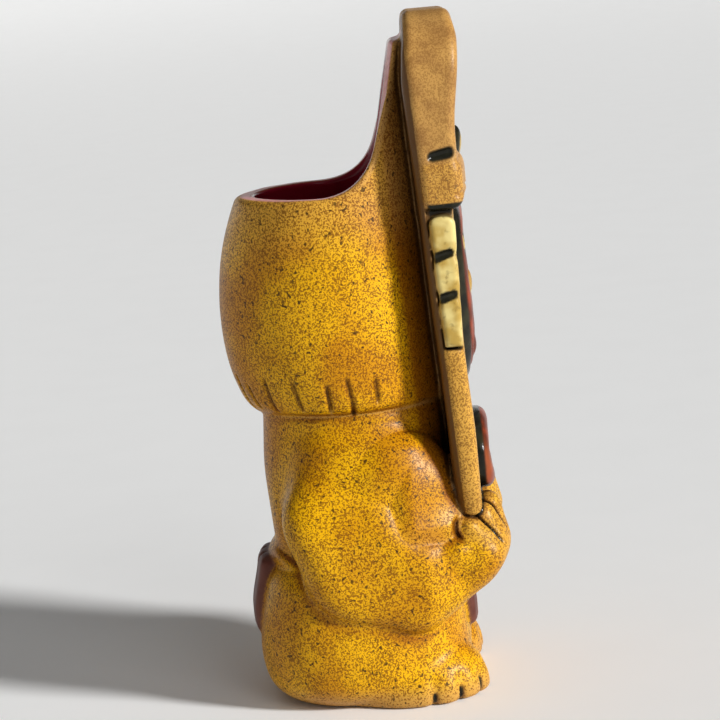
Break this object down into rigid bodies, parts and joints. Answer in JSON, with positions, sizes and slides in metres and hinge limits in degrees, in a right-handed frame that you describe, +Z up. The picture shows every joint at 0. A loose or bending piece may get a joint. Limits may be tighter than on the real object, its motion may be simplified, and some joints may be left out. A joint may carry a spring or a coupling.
{
  "type": "tiki mug",
  "caption": "Ceramic tiki mug: a squat figure grips a tall carved mask, and its open hollow head is the drinking cup.",
  "frame": {"origin": "centre of the bounding box on the standing plane, Z = 0", "axes": "+Z up, the figure and its mask face -Y, +X is the figure's left-hand side"},
  "size_m": [0.085, 0.0879, 0.2197],
  "materials": {
    "mustard": "satin mustard glaze with fine brown speckle",
    "burgundy": "glossy burgundy glaze inside",
    "clay": "bare matt clay",
    "tan": "satin tan-brown speckled glaze",
    "dark": "glossy black-green glaze",
    "cream": "satin cream glaze with brown stains",
    "terracotta": "satin red-brown glaze",
    "cloth": "satin maroon-brown glaze"
  },
  "bodies": {
    "root": {"base_disc": "clay", "brow_bar": "mustard", "forehead_boss": "cream", "forehead_panel": "cream", "head_bowl": "mustard", "hip_shell": "mustard", "inner_glaze": "burgundy", "left_arm": "mustard", "left_cheek": "terracotta", "left_eye": "cream", "left_foot": "mustard", "left_hand": "mustard", "left_leg": "mustard", "left_lower_bead": "cream", "left_middle_bead": "cream", "left_upper_bead": "cream", "lips": "terracotta", "loincloth_back": "cloth", "loincloth_front": "cloth", "mask_ground": "dark", "mask_plate": "tan", "nose": "terracotta", "right_arm": "mustard", "right_cheek": "terracotta", "right_eye": "cream", "right_foot": "mustard", "right_hand": "mustard", "right_leg": "mustard", "right_lower_bead": "cream", "right_middle_bead": "cream", "right_upper_bead": "cream", "teeth": "cream", "torso_shell": "mustard", "waist_band": "mustard"}
  },
  "joints": []
}
